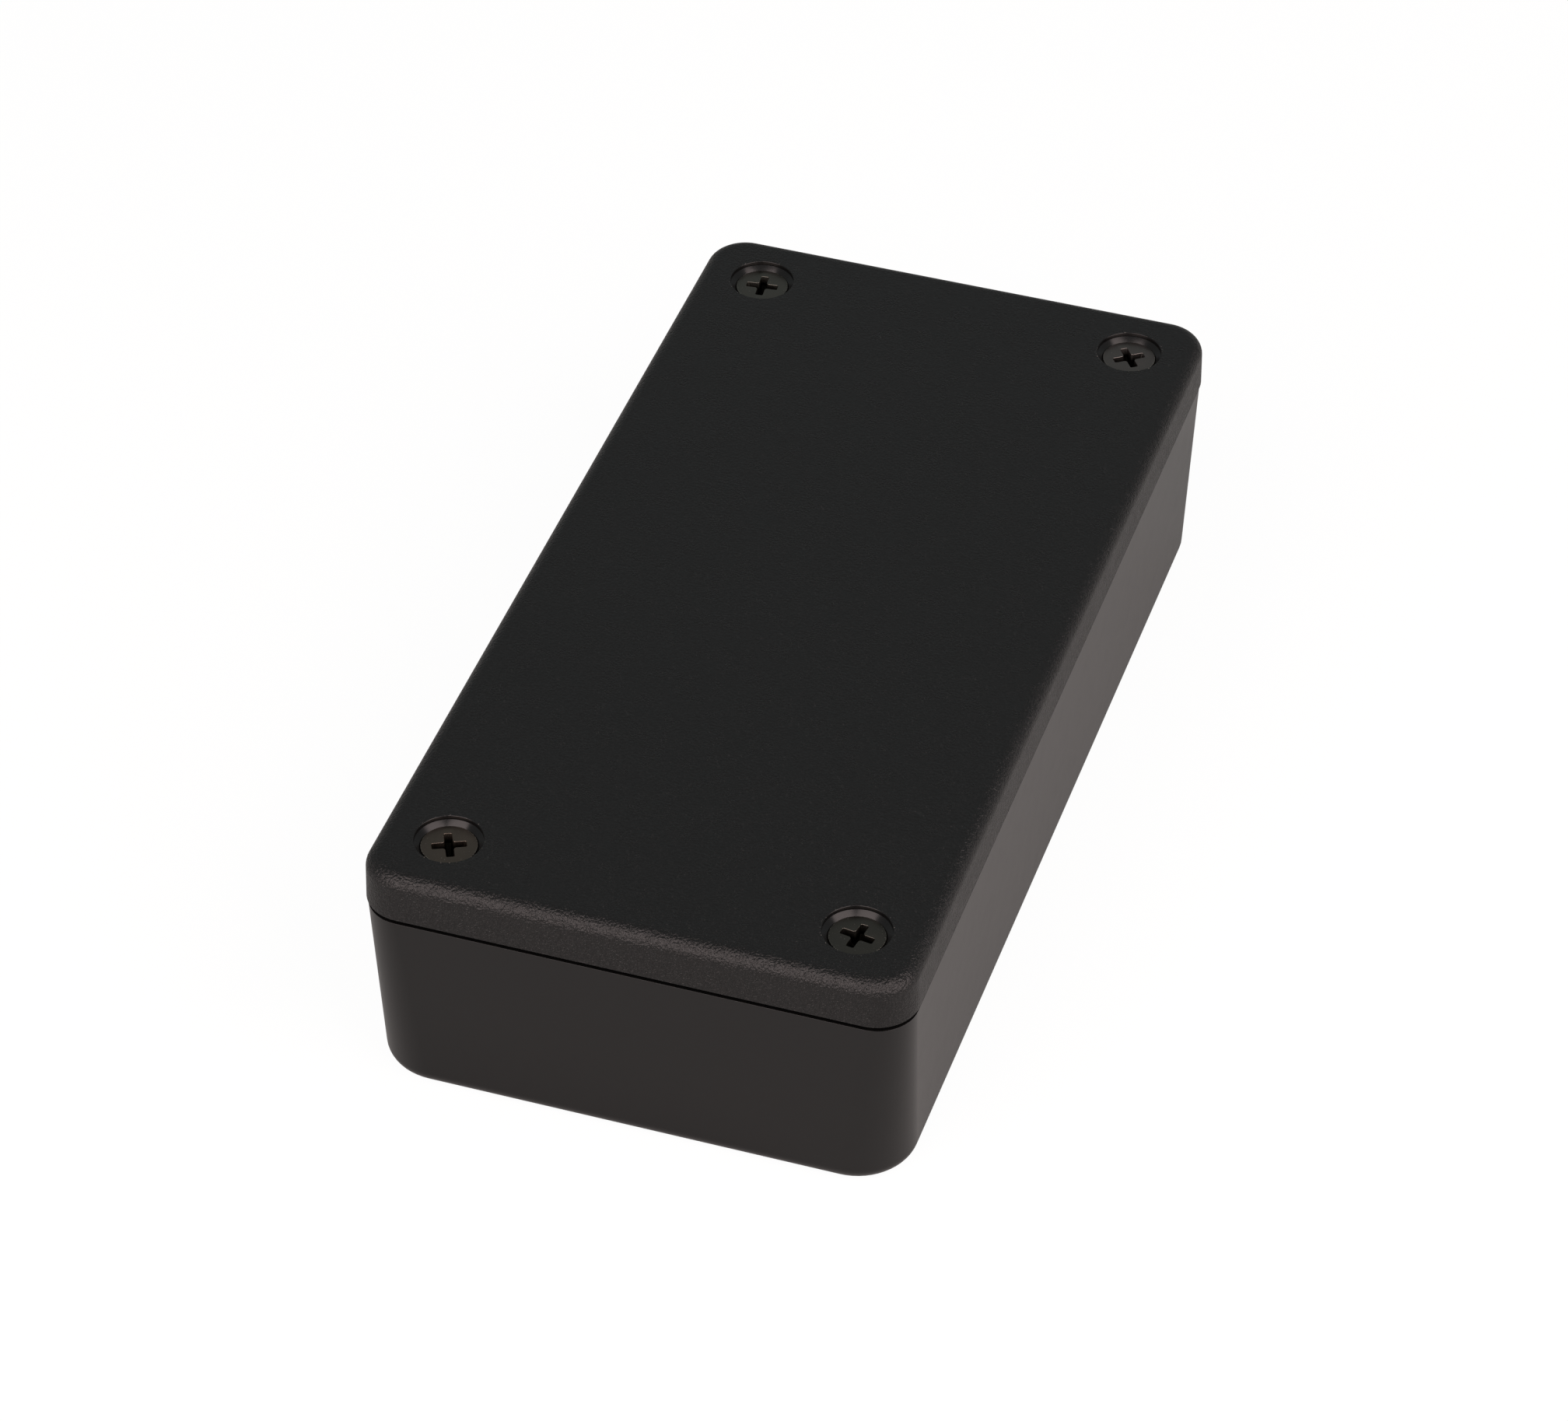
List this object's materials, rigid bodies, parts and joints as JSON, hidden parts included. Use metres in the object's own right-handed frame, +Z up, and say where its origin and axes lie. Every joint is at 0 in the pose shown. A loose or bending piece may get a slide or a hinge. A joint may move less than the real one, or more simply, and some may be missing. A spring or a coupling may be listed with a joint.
{
  "type": "plastic project box",
  "caption": "Small rectangular electronics enclosure: drafted tub with an overlapping lid held by countersunk corner screws.",
  "frame": {"origin": "centre of the underside, on the surface that the box stands on", "axes": "+X across the width, +Y along the length, +Z up out of the lid"},
  "size_m": [0.05, 0.1, 0.024],
  "materials": {
    "tub_plastic": "moulded black ABS, fine satin texture",
    "lid_plastic": "moulded black ABS, fine grained texture",
    "screw_steel": "blackened steel, satin"
  },
  "bodies": {
    "base": {"base": "tub_plastic"},
    "lid": {"lid": "lid_plastic"},
    "screw_front_left": {"screw_front_left": "screw_steel"},
    "screw_front_right": {"screw_front_right": "screw_steel"},
    "screw_back_right": {"screw_back_right": "screw_steel"},
    "screw_back_left": {"screw_back_left": "screw_steel"}
  },
  "joints": [
    {"name": "lid_lift", "type": "slide", "parent": "base", "child": "lid", "axis": [0, 0, 1], "range_m": [0, 0.05]},
    {"name": "screw_front_left_out", "type": "slide", "parent": "lid", "child": "screw_front_left", "axis": [0, 0, 1], "range_m": [0, 0.014]},
    {"name": "screw_front_right_out", "type": "slide", "parent": "lid", "child": "screw_front_right", "axis": [0, 0, 1], "range_m": [0, 0.014]},
    {"name": "screw_back_right_out", "type": "slide", "parent": "lid", "child": "screw_back_right", "axis": [0, 0, 1], "range_m": [0, 0.014]},
    {"name": "screw_back_left_out", "type": "slide", "parent": "lid", "child": "screw_back_left", "axis": [0, 0, 1], "range_m": [0, 0.014]}
  ]
}
